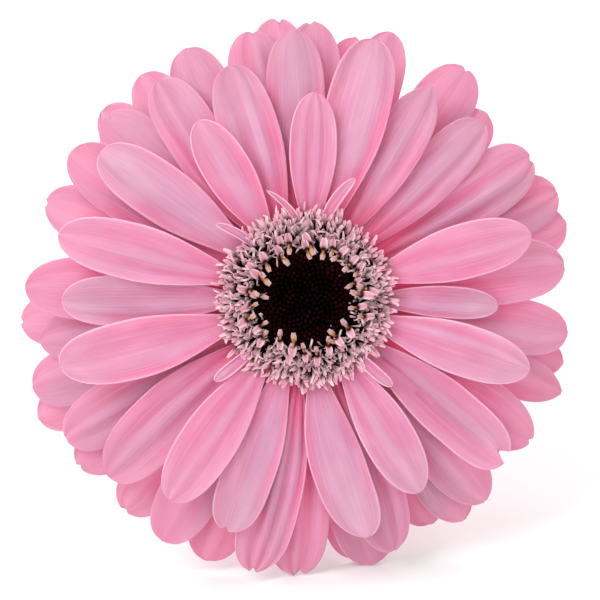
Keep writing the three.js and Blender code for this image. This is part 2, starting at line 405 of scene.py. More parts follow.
# %% Open florets
def open_floret_finish():
    """Rosy lip (part 0), pale strap (part 1), ochre anthers (part 2) and brown tube (part 3)."""
    plain = {"Subsurface Weight": 0.08, "Subsurface Radius": (1.0, 0.6, 0.5)}
    plain.update({"Subsurface Scale": 0.0004, "Specular IOR Level": 0.35})
    material, shader = new_finish("open_floret", plain)
    along, across, part, tone = read(shader, "along", "across", "part", "tone")
    grain = noise(shader, place_on(shader), 1500.0)
    ribs = noise(shader, shader.vector(across * 4, along * 1.5, tone * 60), 1.0)
    edge = abs(across).step(0.4, 1.0) * 0.5
    lip = tone.tint(ink(198, 124, 142), ink(216, 156, 172))
    lip = (ribs.step(0.4, 0.7) * 0.4).tint(lip, ink(236, 200, 210))
    lip = edge.tint(lip, ink(244, 218, 224))
    # Painted shade: a darker rose band down the middle of each lip, standing in for the shade of its
    # fold.
    lip = ((1 - abs(across).step(0.0, 0.35)) * 0.4).tint(lip, ink(176, 96, 122))
    lip = along.step(0.15, 0.5).tint(ink(70, 24, 24), lip)
    strap = tone.tint(ink(198, 138, 130), ink(188, 142, 154))
    strap = (ribs.step(0.4, 0.7) * 0.4).tint(strap, ink(222, 184, 184))
    strap = edge.tint(strap, ink(236, 208, 208))
    strap = along.step(0.1, 0.55).tint(ink(78, 38, 20), strap)
    anther = along.step(0.1, 0.75).tint(ink(50, 18, 6), ink(168, 104, 42))
    anther = along.step(0.7, 1.0).tint(anther, ink(216, 158, 92))
    color = part.step(0.4, 0.6).tint(lip, strap)
    color = part.step(1.4, 1.6).tint(color, anther)
    color = part.step(2.4, 2.6).tint(color, ink(34, 8, 10))
    feed(shader, base_color=color, roughness=0.42 + grain * 0.2)
    feed(shader, normal=relief(shader, ribs * 0.7 + grain * 0.3, 0.0001))
    return material


open_floret = open_floret_finish()
print(open_floret.name, "has", len(open_floret.node_tree.nodes), "nodes")


# %% Closed florets
def bud_finish():
    """Closed florets so dark that only their tops show a little maroon."""
    material, shader = new_finish("bud_maroon", {"Specular IOR Level": 0.03})
    along, row = read(shader, "along", "row")
    place = place_on(shader)
    grain = noise(shader, place, 1500.0)
    patches = noise(shader, place, 420.0)
    tops = along.step(0.6, 1.0) * grain.step(0.4, 0.75) * patches.step(0.42, 0.62)
    base = row.step(0.5, 1.0).tint(ink(5, 0, 1), ink(30, 4, 6))
    color = (tops * 0.7).tint(base, ink(60, 13, 19))
    feed(shader, base_color=color, roughness=0.7 + grain * 0.2)
    return material


bud_maroon = bud_finish()
print(bud_maroon.name, "has", len(bud_maroon.node_tree.nodes), "nodes")

# %% [markdown]
# ## The greens
# Bracts and stem are a dull green, ribbed along their length. Both have the same build and differ
# in colour, number of ribs and depth only, so one function makes both finishes.


# %% The greens
def green_finish(name, foot, tip, rib_count, depth):
    """A plant green, with ribs that run along the piece and a soft mottle."""
    plain = {"Subsurface Weight": 0.1, "Subsurface Radius": (0.4, 0.8, 0.2)}
    plain.update({"Subsurface Scale": 0.0008, "Specular IOR Level": 0.35, "Sheen Weight": 0.25})
    material, shader = new_finish(name, plain)
    along, across = read(shader, "along", "across")
    mottle = noise(shader, place_on(shader), 260.0, 4.0)
    ribs = noise(shader, shader.vector(across * rib_count, along * 6, mottle * 0.4), 1.0)
    color = along.step(0.0, 1.0).tint(foot, tip)
    color = (mottle.step(0.35, 0.75) * 0.5).tint(color, ink(132, 152, 82))
    color = (ribs.step(0.45, 0.75) * 0.45).tint(color, ink(70, 92, 36))
    feed(shader, base_color=color, roughness=0.45 + mottle * 0.3)
    feed(shader, normal=relief(shader, ribs * 0.7 + mottle * 0.3, depth))
    return material


bract_green = green_finish("bract_green", ink(110, 134, 62), ink(86, 78, 46), 9, 0.0002)
stem_green = green_finish("stem_green", ink(136, 158, 80), ink(110, 134, 56), 40, 0.00012)
print("the greens have", len(stem_green.node_tree.nodes), "nodes each")

# %% [markdown]
# ## Ray florets
# What we call a petal is a whole small flower: a strap that widens from a narrow claw, arches
# outwards and ends in a blunt tip, sometimes with a small notch. All of them follow one rule, so
# one Geometry Nodes tree grows them all from a flat grid. Its inputs are the sizes measured on
# each ray's CAD solid, and a few that make each ray an individual.

# %% Outline of a ray
WIDEST_AT = 0.62  # share of a ray's length, as on its CAD solid


def marked(given, geometry, name, value, domain="POINT"):
    """Stores a value on the points or faces of a piece, for its finish to read."""
    sockets = {"Geometry": geometry, "Name": name, "Value": value}
    return given.add("GeometryNodeStoreNamedAttribute", {"domain": domain}, sockets)


def ray_outline(given, share, across):
    """How far out a point of the sheet lies, and half the width of the ray there."""
    foot = given["Foot width"] / given["Width"]
    swelling = ((share / WIDEST_AT).least(1.0) * (math.pi / 2)).sin() ** 1.4
    rising = foot + (1 - foot) * swelling
    past = ((share - WIDEST_AT) / (1 - WIDEST_AT)).most(0.0)
    rounding = (1 - past ** given["Fullness"]).most(0.0) ** (0.5 + 0.5 * given["Point"])
    half = (given["Width"] * rising * rounding).most(given["Tip width"]) / 2
    from_notch = abs(across * half - given["Notch place"]) / given["Notch width"]
    notch = given["Notch"] * (1 - from_notch).most(0.0) * share.step(0.8, 1.0)
    return share * given["Length"] - notch, half


# %% Surface of a ray
def ray_flute(given, share, across):
    """1 on the long ridges of a ray and -1 in the grooves between them."""
    uneven = across + 0.22 * (across * 2.3 + given["Tone"] * 6.3 + share).sin()
    return (uneven * given["Flutes"] * math.pi + given["Shift"]).cos()


def ray_surface(given, share, across, reach, half):
    """How far to the side and how high a point of the sheet lies."""
    side = across * half + given["Bend"] * share * share
    breadth = half * 2 / given["Width"]
    height = given["Height"] + given["Slope"] * reach + given["Arch"] * reach * reach
    height = height + given["Droop"] * reach**3
    height = height + given["Roll"] * side + given["Cup"] * side * side
    flute = ray_flute(given, share, across)
    height = height + flute * given["Flute depth"] * breadth * (1 - across**4)
    place = given.vector(side * 0.2, share * 2.0, given["Tone"] * 53)
    hills = noise(given, place, 1.0, 1.0) - 0.5
    height = height + hills * given["Hills"] * share.step(0.0, 0.4)
    height = height + given["Curl"] * across**6 * breadth
    middle = (share * math.pi).sin().most(0.0)
    height = height + given["Groove"] * (abs(across) - 1) * middle
    return side, height + given["Fold"] * (across - 0.2).most(0.0) * middle


# %% The growing rule of a ray
WELD = 0.002  # mm; closer points are one point


def ray_rule():
    """A flat grid, bent to the ray's surface and given its thickness."""
    sizes = {"Material": None, "Bearing": 0.0, "Start": 11.3, "Length": 40.0, "Width": 12.0}
    sizes.update({"Height": 0.0, "Slope": 0.2, "Arch": 0.0, "Droop": 0.0})
    sizes.update({"Bend": 0.0, "Roll": 0.0, "Cup": 0.0, "Thickness": 0.26})
    sizes.update({"Fullness": 3.0, "Foot width": 1.8, "Tip width": 1.6, "Point": 0.0})
    sizes.update({"Notch": 0.0, "Notch place": 0.0, "Notch width": 0.8})
    sizes.update({"Flutes": 2.0, "Shift": 0.0, "Flute depth": 0.3, "Hills": 0.8})
    sizes.update({"Curl": 0.3, "Groove": 0.0, "Fold": 0.0})
    sizes.update({"Tone": 0.5, "Row": 0.0, "Stations": 72, "Strips": 33})
    tree, given = new_rule("ray floret", sizes)
    grid = {"Size X": 1.0, "Size Y": 1.0}
    grid.update({"Vertices X": given["Stations"], "Vertices Y": given["Strips"]})
    sheet = given.add("GeometryNodeMeshGrid", {}, grid)
    flat = given.add("ShaderNodeSeparateXYZ", {}, {0: given.add("GeometryNodeInputPosition")})
    share = ((flat["X"] + 0.5) * (math.pi / 2)).sin()
    across = flat["Y"] * 2
    reach, half = ray_outline(given, share, across)
    side, height = ray_surface(given, share, across, reach, half)
    height = height - given["Thickness"] / 2

    east = given["Bearing"].sin()
    north = given["Bearing"].cos()
    away = given["Start"] + reach
    place = given.vector(away * east - side * north, away * north + side * east, height)
    # The marks come before the bending, because both read the places of the flat sheet.
    marks = {"along": share, "across": across, "tone": given["Tone"], "row": given["Row"]}
    marks["ridge"] = ray_flute(given, share, across)  # its own copy, read on the flat sheet
    for name, value in marks.items():
        sheet = marked(given, sheet, name, value)
    bent = {"Geometry": sheet, "Position": place}
    sheet = given.add("GeometryNodeSetPosition", {}, bent)
    raised = {"Mesh": sheet, "Offset Scale": given["Thickness"], "Individual": False}
    raised = given.add("GeometryNodeExtrudeMesh", {}, raised)
    top = marked(given, raised["Mesh"], "upper", raised["Top"], "FACE")
    under = given.add("GeometryNodeFlipFaces", {}, {"Mesh": sheet})
    both = given.add("GeometryNodeJoinGeometry", {}, {"Geometry": [top, under]})
    welded = given.add("GeometryNodeMergeByDistance", {}, {"Geometry": both, "Distance": WELD})
    end_rule(welded, given)
    return tree


ray_tree = ray_rule()
print("the ray rule has", len(ray_tree.nodes), "nodes")

# %% [markdown]
# ## Measuring a ray's solid
# The fine ray has to lie where its CAD solid lies. Its foot gives the bearing, its farthest point
# the length, and a least-squares fit gives the curve of its middle line and how far its edges
# turn up. The rule then repeats that shape with a smooth surface. The last row of corners before
# the tip tells how blunt the ray is.

# %% Measure the rays
LAST_ROW = math.sin(5 / 6 * math.pi / 2)  # share of the length where the solid's last row stands


def measured(name):
    """The sizes of a ray's CAD solid, in millimetres in the head's frame."""
    points = in_head(corners(name))
    radius = np.hypot(points[:, 0], points[:, 1])
    foot = points[radius.argmin()]
    bearing = math.atan2(foot[0], foot[1])
    outward = np.array([math.sin(bearing), math.cos(bearing)])
    side = points[:, :2] @ np.array([-outward[1], outward[0]])
    start = radius.min()
    reach = points[:, :2] @ outward - start
    length = reach.max()
    share = reach / length
    bend = (side @ share**2) / (share**2 @ share**2)
    terms = [np.ones_like(reach), reach, reach**2, reach**3, side, side**2]
    fit = np.linalg.lstsq(np.stack(terms, 1), points[:, 2], rcond=None)[0]
    straight = side - bend * share**2
    width = np.ptp(straight)
    narrowed = np.ptp(straight[abs(share - LAST_ROW) < 0.02]) / width
    past = (LAST_ROW - WIDEST_AT) / (1 - WIDEST_AT)
    sizes = {"Bearing": bearing, "Start": start, "Length": length, "Bend": bend, "Width": width}
    sizes["Fullness"] = math.log(1 - narrowed**2) / math.log(past)
    sizes.update(zip(["Height", "Slope", "Arch", "Droop", "Roll", "Cup"], fit))
    return sizes


ray_names = sorted(name for name in nodes if name.startswith("ray_"))
ray_sizes = {name: measured(name) for name in ray_names}
blunt_least = min(size["Fullness"] for size in ray_sizes.values())
blunt_most = max(size["Fullness"] for size in ray_sizes.values())
print("measured", len(ray_names), "rays; fullness", round(blunt_least, 2), round(blunt_most, 2))

# %% [markdown]
# ## Every ray an individual
# No two rays of a real head are alike. Modelling each by hand would take days, and plain chance
# would lose the few that give this head its character. So chance, always from the same seed,
# decides the flutes, the hills and the colour, and two short tables then name the rays that are
# split, pointed, folded or bent to one side.


# %% Grow the rays
def individual(dice, front):
    """What makes one ray differ from the next: the front ones are smoother and never notched."""
    return {
        "Tone": dice.random(),
        "Row": 0.0 if front else 1.0,
        "Flutes": dice.choice([0.9, 1.2, 1.5, 1.8, 2.2]),
        "Shift": dice.uniform(-1.4, 1.4),
        "Flute depth": dice.uniform(0.08, 0.22) if front else dice.uniform(0.14, 0.36),
        "Hills": dice.uniform(0.6, 1.2) if front else dice.uniform(1.0, 2.2),
        "Curl": dice.uniform(0.1, 0.5) if front else dice.uniform(-0.2, 0.5),
        "Tip width": dice.uniform(0.7, 1.5),
        "Notch": 0.0 if front else dice.choice([0.0, 0.0, 0.0, 0.7]),
        "Notch place": dice.uniform(-0.8, 0.8),
        "Point": dice.uniform(-0.1, 0.14),
    }


# Rays that stand out: folded, pointed, split or bent to the side.
SPECIAL_RAYS = {
    "ray_middle_02": {"Point": 0.7, "Fold": -1.4, "Notch": 0.0},
    "ray_middle_03": {"Width": 10.4},
    "ray_front_05": {"Fullness": 4.4, "Notch": 2.6, "Notch width": 1.3, "Groove": 2.0},
    "ray_front_07": {"Bearing": math.radians(172.5), "Bend": 5.6, "Fullness": 3.6},
    "ray_middle_11": {"Flutes": 2.5, "Flute depth": 0.5, "Notch": 1.0, "Fullness": 4.5},
    "ray_front_08": {"Fullness": 4.0, "Notch": 0.7},
    "ray_middle_10": {"Notch": 1.2, "Notch width": 1.1, "Flute depth": 0.4, "Fullness": 4.5},
    "ray_back_06": {"Point": 0.4, "Notch": 0.0},
    "ray_back_18": {"Notch": 1.0, "Fullness": 5.0},
    "ray_middle_17": {"Notch": 0.8, "Fullness": 4.0},
    "ray_back_22": {"Notch": 1.1, "Fullness": 5.0},
}

# How far a ray's tip sways to the right of its straight line, in degrees round the head.
TIP_SWAY = {
    "ray_front_01": -1.6, "ray_front_04": -1.4, "ray_front_05": 1.0, "ray_front_08": 1.3,
    "ray_front_10": 3.4, "ray_front_11": 1.3, "ray_front_14": 1.0, "ray_middle_03": -0.8,
    "ray_middle_04": -1.6, "ray_middle_11": 3.0, "ray_middle_13": -2.8, "ray_middle_16": 1.4,
    "ray_middle_17": 2.2, "ray_middle_18": 1.6, "ray_middle_19": 1.6, "ray_back_17": 1.5,
    "ray_back_19": 1.6, "ray_back_20": 1.3,
}  # fmt: skip

dice = np.random.default_rng(7)
for name in ray_names:
    sizes = {"Material": petal_pink, **ray_sizes[name], **individual(dice, "front" in name)}
    sway = math.radians(TIP_SWAY.get(name, 0.0)) * (sizes["Start"] + sizes["Length"])
    sizes["Bend"] = sizes["Bend"] - sway
    sizes.update(SPECIAL_RAYS.get(name, {}))
    finished(name + "_fine", grow(ray_tree, sizes), "petal", name)
print("grew", len(ray_names), "rays")

# %% [markdown]
# ## Rays with no solid of their own
# A full head has more rays than the CAD model needs for its weight and its size. Six more lie
# behind the last row and show only their tips. Each one borrows the slope of a CAD ray on its own
# level. Five small ones stand in front of the first row, where the disc begins. They never opened
# flat, so they curl like wood shavings.

# %% Hidden rays
HIDDEN_RAYS = [
    # bearing in degrees, distance of the tip from the axis, width, the ray it borrows from
    (11, 53.8, 11.0, "ray_back_03"),
    (44.5, 52.4, 11.0, "ray_back_13"),
    (74, 55.0, 12.0, "ray_back_13"),
    (169, 53.6, 11.0, "ray_back_03"),
    (313, 56.2, 11.0, "ray_back_13"),
    (333, 55.4, 11.5, "ray_back_13"),
]
for i, (bearing, reach, width, lender) in enumerate(HIDDEN_RAYS):
    sizes = {"Material": petal_pink, **ray_sizes[lender], **individual(dice, False)}
    sizes.update({"Bearing": math.radians(bearing), "Length": reach - sizes["Start"]})
    sizes.update({"Width": width, "Bend": 0.0})
    finished(f"ray_hidden_{i + 1:02d}", grow(ray_tree, sizes), "petal")
print("grew", len(HIDDEN_RAYS), "hidden rays")

# %% Curled rays
CURLED_START = 13.0  # mm from the axis
CURLED_RAYS = [
    # bearing, distance of the tip, width, sideways bend, slope
    (13, 25.4, 2.6, -4.0, 0.50),
    (138, 24.6, 2.5, 1.0, 0.40),
    (226, 24.6, 2.5, -0.8, 0.40),
    (316, 23.0, 1.9, 2.6, 0.55),
    (355, 22.0, 1.8, 5.8, 0.60),
]
for i, (bearing, reach, width, bend, slope) in enumerate(CURLED_RAYS):
    sizes = {"Material": petal_pink, "Bearing": math.radians(bearing)}
    sizes.update({"Start": CURLED_START, "Length": reach - CURLED_START})
    sizes.update({"Width": width, "Bend": bend, "Height": 0.8})
    sizes.update({"Slope": slope, "Arch": -0.02, "Curl": 0.6, "Flute depth": 0.0})
    sizes.update({"Hills": 0.1, "Tip width": 0.6, "Foot width": 1.4, "Tone": 0.15 * i})
    sizes.update({"Stations": 40, "Strips": 15})
    finished(f"ray_curled_{i + 1:02d}", grow(ray_tree, sizes), "petal")
print("grew", len(CURLED_RAYS), "curled rays")

# %% [markdown]
# ## Simple closed shapes
# The disc is a crowd of tiny things: straps, tubes and pointed buds. Two small makers are enough
# for all of them. `leaf` makes a thin closed blade along a line, and `tube` closes a skin over a
# row of rings. Both mark their points with `along` and `across`, so that a finish can follow them.


# %% Leaves
def closed_mesh(points, faces, marks):
    """A mesh from points and faces, with a value of each kind on every point."""
    mesh = bpy.data.meshes.new("shape")
    mesh.from_pydata([tuple(p) for p in points], [], faces)
    for name, values in marks.items():
        layer = mesh.attributes.new(name, "FLOAT", "POINT")
        layer.data.foreach_set("value", np.asarray(values, np.float32))
    mesh.update()
    return mesh


def leaf(line, widths, thickness, trough=0.0, strips=2, part=0.0):
    """A closed blade: line holds its (y, z) points from foot to tip."""
    line = np.asarray(line, float)
    slope = np.gradient(line, axis=0)
    slope /= np.linalg.norm(slope, axis=1)[:, None]
    points = []
    along = []
    across = []
    for face_side in (0.5, -0.5):
        for i, (y, z) in enumerate(line):
            for j in range(strips + 1):
                v = 2 * j / strips - 1
                lift = trough * v * v * widths[i] + face_side * thickness
                points.append((v * widths[i] / 2, y - slope[i, 1] * lift, z + slope[i, 0] * lift))
                along.append(i / (len(line) - 1))
                across.append(v)
    row = strips + 1
    back = row * len(line)
    faces = []
    for i in range(len(line) - 1):
        for j in range(strips):
            a = i * row + j
            faces.append((a, a + 1, a + row + 1, a + row))
            faces.append((back + a + row, back + a + row + 1, back + a + 1, back + a))
        left = i * row
        right = left + strips
        faces.append((left + row, back + left + row, back + left, left))
        faces.append((right, back + right, back + right + row, right + row))
    for j in range(strips):
        last = back - row + j
        faces.append((j, back + j, back + j + 1, j + 1))
        faces.append((last + 1, back + last + 1, back + last, last))
    return points, faces, {"along": along, "across": across, "part": [part] * len(points)}


# %% Tubes
def tube(rings, part=0.0):
    """A closed skin over rings of points, each given as an array of the same length."""
    sides = len(rings[0])
    points = [p for ring in rings for p in ring]
    points += [np.mean(rings[0], axis=0), np.mean(rings[-1], axis=0)]
    faces = []
    for i in range(len(rings) - 1):
        for j in range(sides):
            a = i * sides + j
            b = i * sides + (j + 1) % sides
            faces.append((a, b, b + sides, a + sides))
    last = (len(rings) - 1) * sides
    for j in range(sides):
        k = (j + 1) % sides
        faces.append((len(points) - 2, k, j))
        faces.append((len(points) - 1, last + j, last + k))
    along = [i / (len(rings) - 1) for i in range(len(rings)) for _ in range(sides)] + [0, 1]
    across = [j / sides for _ in rings for j in range(sides)] + [0, 0]
    return points, faces, {"along": along, "across": across, "part": [part] * len(points)}


# %% Shapes made of others
def joined(*shapes):
    """Several shapes as one."""
    points = []
    faces = []
    marks = {"along": [], "across": [], "part": []}
    for some_points, some_faces, some_marks in shapes:
        faces += [tuple(len(points) + k for k in face) for face in some_faces]
        points += list(some_points)
        for name in marks:
            marks[name] += list(some_marks[name])
    return points, faces, marks


def circle(radius, height, sides):
    """A level ring of points."""
    turn = np.arange(sides) * 2 * math.pi / sides
    return np.stack([radius * np.cos(turn), radius * np.sin(turn), np.full(sides, height)], 1)


def pattern(name, shape):
    """An object that a growing rule copies; it is removed when the crowd is grown."""
    holder = bpy.data.objects.new(name, closed_mesh(*shape))
    bpy.context.scene.collection.objects.link(holder)
    return holder


# %% [markdown]
# ## A crowd on the disc
# Florets on a daisy's disc stand on a spiral: each one is turned 137.5 degrees from the last, and
# the radius grows with the square root of its number, so every floret has the same room. One
# rule plants every crowd. Its inputs say between which radii the copies stand, how far the outer
# ones lean and how much they vary. With another step from copy to copy, the same rule sets the
# bracts in a ring.

# %% Where the copies stand
GOLDEN_ANGLE = math.pi * (3 - math.sqrt(5))


def chance(given, low, high, kind):
    """A random number for each copy; kind keeps one draw apart from another."""
    sockets = {"Min": low, "Max": high, "ID": given.add("GeometryNodeInputIndex")}
    sockets["Seed"] = given["Seed"] + kind * 10
    return given.add("FunctionNodeRandomValue", {}, sockets)


def crowd_points(given):
    """The points of the spiral, with the turn of each and its share of the way outwards."""
    number = given.add("GeometryNodeInputIndex")
    full = given["Outer"] * given["Outer"]
    hollow = given["Inner"] * given["Inner"]
    radius = (hollow + (full - hollow) * (number + 0.5) / given["Count"]) ** 0.5
    radius = radius + chance(given, -1.0, 1.0, 1) * given["Scatter"]
    turn = number * given["Step"] + given["Turn"]
    turn = turn + chance(given, -1.0, 1.0, 2) * given["Scatter"] / radius.most(1.0)
    share = (radius - given["Inner"]) / (given["Outer"] - given["Inner"])
    height = given["Inner height"] * (1 - share) + given["Outer height"] * share
    height = height + given["Bulge"] * (1 - share * share)
    place = given.vector(radius * turn.sin(), radius * turn.cos(), height)
    points = given.add("GeometryNodePoints", {}, {"Count": given["Count"], "Position": place})
    points = marked(given, points, "tone", chance(given, 0.0, 1.0, 3))
    return marked(given, points, "row", share), turn, share


# %% The growing rule of a crowd
def crowd_rule(copied):
    """Sets a copy of one of these objects on each point, leaning outwards."""
    sizes = {"Material": None, "Count": 100, "Inner": 0.0, "Outer": 8.0, "Seed": 1}
    sizes.update({"Inner height": 0.0, "Outer height": 0.0, "Bulge": 0.0, "Step": GOLDEN_ANGLE})
    sizes.update({"Turn": 0.0, "Outer lean": 0.0, "Scatter": 0.1, "Wobble": 0.2})
    sizes.update({"Spin": 0.0, "Smallest": 0.9, "Largest": 1.1})
    tree, given = new_rule("crowd", sizes)
    points, turn, share = crowd_points(given)
    lean = given["Outer lean"] * share + chance(given, -1.0, 1.0, 4) * given["Wobble"]
    sideways = chance(given, -1.0, 1.0, 5) * given["Wobble"]
    angles = given.vector(0 - lean, sideways, 0 - turn)
    copies = []
    for thing in copied:
        copies.append(given.add("GeometryNodeObjectInfo", {}, {"Object": thing})["Geometry"])
    bag = given.add("GeometryNodeGeometryToInstance", {}, {"Geometry": copies})
    planted = {"Points": points, "Instance": bag, "Pick Instance": True}
    planted["Instance Index"] = (chance(given, 0.0, 0.999, 6) * len(copied)).floor()
    planted["Rotation"] = given.add("FunctionNodeEulerToRotation", {}, {"Euler": angles})
    size = chance(given, given["Smallest"], given["Largest"], 7)
    planted["Scale"] = given.vector(size, size, size)
    crowd = given.add("GeometryNodeInstanceOnPoints", {}, planted)
    spin = given.vector(0.0, 0.0, chance(given, -1.0, 1.0, 8) * given["Spin"])
    spin = given.add("FunctionNodeEulerToRotation", {}, {"Euler": spin})
    spun = {"Instances": crowd, "Rotation": spin, "Local Space": True}
    end_rule(given.add("GeometryNodeRotateInstances", {}, spun), given)
    return tree


def plant(name, shapes, slot, values, *replaced, crisp=True):
    """Grows a crowd of copies of these shapes and keeps it as one piece."""
    copied = [pattern(f"{name}_{i}", shape) for i, shape in enumerate(shapes)]
    mesh = grow(crowd_rule(copied), values)
    for thing in copied:
        bpy.data.objects.remove(thing)
    print(name, "has", len(mesh.polygons), "faces")
    return finished(name, mesh, slot, *replaced, crisp=crisp)


# %% [markdown]
# ## The eye
# The middle of the disc is a dome of florets that haven't opened yet. Each is a small drop with
# seven sides, which is enough at this size: the pattern that the eye sees is the spiral.

# %% Closed florets in the eye
BUD_SIDES = 7
BUD_PROFILE = [(0.30, -1.2), (0.46, -0.5), (0.50, 0.1), (0.40, 0.6), (0.18, 0.9)]
bud = tube([circle(radius, height, BUD_SIDES) for radius, height in BUD_PROFILE])

eye = {"Material": bud_maroon, "Count": 330, "Outer": 9.3, "Seed": 3}
eye.update({"Inner height": 3.3, "Outer height": 3.2, "Bulge": 0.3})
eye.update({"Outer lean": 0.3, "Scatter": 0.08, "Wobble": 0.12})
eye.update({"Spin": 3.1, "Smallest": 0.85, "Largest": 1.15})
plant("closed_florets", [bud], "bud", eye, "bud_eye", crisp=False)

# %% [markdown]
# ## Open florets
# Where the eye ends, the florets are open. Each has two lips, a broad one that leans outwards and
# a narrow one that leans inwards, with a tube of joined anthers between them and a dark neck
# below. Bending a flat blade along a line that turns from one angle to another is the shortest
# way to draw such a lip. Four kinds with different bends keep the ring from looking stamped.


# %% Bent lines and blunt leaves
def arc(start, length, bends, steps, ease=1.0):
    """A line of (y, z) points that turns between two angles, later with a larger ease."""
    angles = np.radians(bends[0] + (bends[1] - bends[0]) * np.linspace(0, 1, steps) ** ease)
    step = length / steps
    y = start[0] + np.concatenate([[0], np.cumsum(np.cos(angles) * step)])
    z = start[1] + np.concatenate([[0], np.cumsum(np.sin(angles) * step)])
    return np.stack([y, z], 1)


def blunt(width, steps, foot=0.5, tip=0.45):
    """Widths of a leaf that starts narrow, swells and ends blunt."""
    share = np.linspace(0, 1, steps + 1)
    body = foot + (1 - foot) * np.sin(np.minimum(share / 0.6, 1) * math.pi / 2)
    end = np.sqrt(np.maximum(1 - np.maximum((share - 0.55) / 0.45, 0) ** 2.4, tip**2))
    return width * body * end


# %% Open florets around the eye
ANTHER_RADII = [0.2, 0.26, 0.29, 0.26, 0.2, 0.08]
NECK_PROFILE = [(0.3, 0.0), (0.38, 1.8), (0.52, 3.1)]  # radius, height


def open_flower(lip_bend, strap_bend, anther_bend, lip_width=1.5):
    """A floret with two lips: a broad one outwards, a narrow strap inwards, anthers between."""
    lip_line = arc((0.3, 2.9), 2.6, (72, lip_bend), 7)
    lip = leaf(lip_line, blunt(lip_width, 7, 0.5, 0.5), 0.12, 0.24, 4, 0)
    strap_line = arc((-0.3, 2.9), 2.3, (108, strap_bend), 7)
    strap = leaf(strap_line, blunt(1.0, 7, 0.6, 0.7), 0.12, 0.3, 4, 1)
    line = arc((-0.1, 2.7), 2.3, (92, anther_bend), 5)
    anthers = [circle(r, z, 6) + np.array([0, y, 0]) for r, (y, z) in zip(ANTHER_RADII, line)]
    neck = [circle(radius, height, 6) for radius, height in NECK_PROFILE]
    return joined(lip, strap, tube(anthers, 2), tube(neck, 3))


ring = {"Material": open_floret, "Count": 33, "Inner": 9.9, "Outer": 11.3, "Seed": 12}
ring.update({"Inner height": 1.5, "Outer height": 1.5, "Outer lean": 0.12})
ring.update({"Scatter": 0.5, "Wobble": 0.22, "Spin": 0.6, "Smallest": 0.85, "Largest": 1.15})
flowers = [open_flower(0, 172, 140), open_flower(20, 184, 122), open_flower(-12, 164, 158)]
flowers.append(open_flower(8, 192, 106, 1.35))
plant("open_florets", flowers, "floret", ring)

# %% [markdown]
# ## Dusty florets
# Between the open florets and the rays stands a thick brush of small straps, upright inside and
# leaning outwards at the rim, with a few thin ones that curl over like shavings. Hair particles
# would be quick to scatter but have no width or edges. Real blades of a few dozen faces catch the
# light as the straps do.


# %% Dusty florets around those
def strap(bends, width, length, tip=0.5):
    """A short blade with a hollow upper side."""
    return leaf(arc((0.0, 0.0), length, bends, 6), blunt(width, 6, 0.45, tip), 0.12, 0.22, 4)


straps = [strap((90, 50), 0.8, 4.1), strap((98, 70), 0.74, 4.5), strap((88, -40), 0.7, 4.6)]
straps += [strap((94, 78), 0.95, 4.0, 0.65), strap((92, 10), 0.5, 4.8, 0.4)]
straps += [strap((84, 60), 0.85, 4.2, 0.55)]
brush = {"Material": dusty_pink, "Count": 980, "Inner": 10.4, "Outer": 15.7, "Seed": 21}
brush.update({"Inner height": 0.7, "Outer height": 0.9, "Outer lean": 0.8})
brush.update({"Scatter": 0.4, "Wobble": 0.28, "Spin": 1.2, "Smallest": 0.65, "Largest": 1.05})
plant("dusty_florets", straps, "floret", brush, "floret_ring")


# %% Shavings among them
def shaving(width, length, last_bend):
    """A narrow strap that rises and then curls over like a wood shaving."""
    line = arc((0.0, 0.0), length, (90, last_bend), 11, 2.2)
    return leaf(line, np.linspace(width, width * 0.7, 12), 0.1)


shavings = [shaving(0.4, 6.4, -190), shaving(0.32, 5.8, 300), shaving(0.5, 6.0, -120)]
curls = {"Material": dusty_pink, "Count": 210, "Inner": 10.0, "Outer": 14.6, "Seed": 33}
curls.update({"Inner height": 1.2, "Outer height": 1.2, "Outer lean": 0.6, "Scatter": 0.5})
curls.update({"Wobble": 0.3, "Spin": 3.1, "Smallest": 0.75, "Largest": 1.05})
plant("curled_florets", shavings, "floret", curls)

# %% [markdown]
# ## Under the head
# The receptacle is the swollen end of the stem. It is seen only from behind, between the green
# bracts that cup it. The bracts stand in three rows, the outer ones shorter, like tiles.


# %% Receptacle and the floor of the disc
def turned(profile, sides, wobble=0.0):
    """A body of revolution in the head's frame, from (radius, height) points."""
    rings = [circle(radius, height, sides) for radius, height in profile]
    turn = np.arange(sides) * 2 * math.pi / sides
    for i, ring_points in enumerate(rings):
        ring_points[:, 2] += wobble * np.sin(turn * 9 + i)
    return tube(rings)


def in_place(shape, material, place=HEAD):
    """A shape as a mesh with its material, moved to its place on the flower."""
    mesh = closed_mesh(*shape)
    mesh.materials.append(material)
    mesh.transform(place)
    return mesh


core = [(2.9, -12.0), (4.6, -11.3), (6.9, -9.9), (8.6, -8.4), (9.9, -6.9), (10.8, -5.2)]
core += [(11.0, -3.4), (11.0, -1.5), (10.9, -0.2)]
finished("receptacle_fine", in_place(turned(core, 48), bract_green), "bract", "receptacle")
bed = [(11.2, 0.0), (14.6, 1.3), (15.0, 1.9), (13.2, 2.3), (10.0, 2.5), (6.0, 2.6), (0.5, 2.6)]
finished("disc_floor", in_place(turned(bed, 60, 0.1), bud_maroon), "bud")
print("the receptacle is", core[-1][1] - core[0][1], "mm high")

# %% [markdown]
# ## Bracts
# A bract follows the cup up from the neck and ends in a free point. Its middle line is a smooth
# curve through four points of the CAD cup, and the crowd rule sets it in a ring, this time with
# an even step from copy to copy.


# %% A smooth line
def smooth_line(values, steps):
    """Points on a Catmull-Rom curve through rows of values."""
    values = np.asarray(values, float)
    padded = np.vstack([2 * values[0] - values[1], values, 2 * values[-1] - values[-2]])
    out = []
    for t in np.linspace(0, len(values) - 1.000001, steps):
        i = int(t)
        f = t - i
        a, b, c, d = padded[i : i + 4]
        bent = 2 * b + (c - a) * f + (2 * a - 5 * b + 4 * c - d) * f**2
        out.append((bent + (3 * b - a - 3 * c + d) * f**3) / 2)
    return np.array(out)


# %% Bracts
BRACT_STATIONS = 13


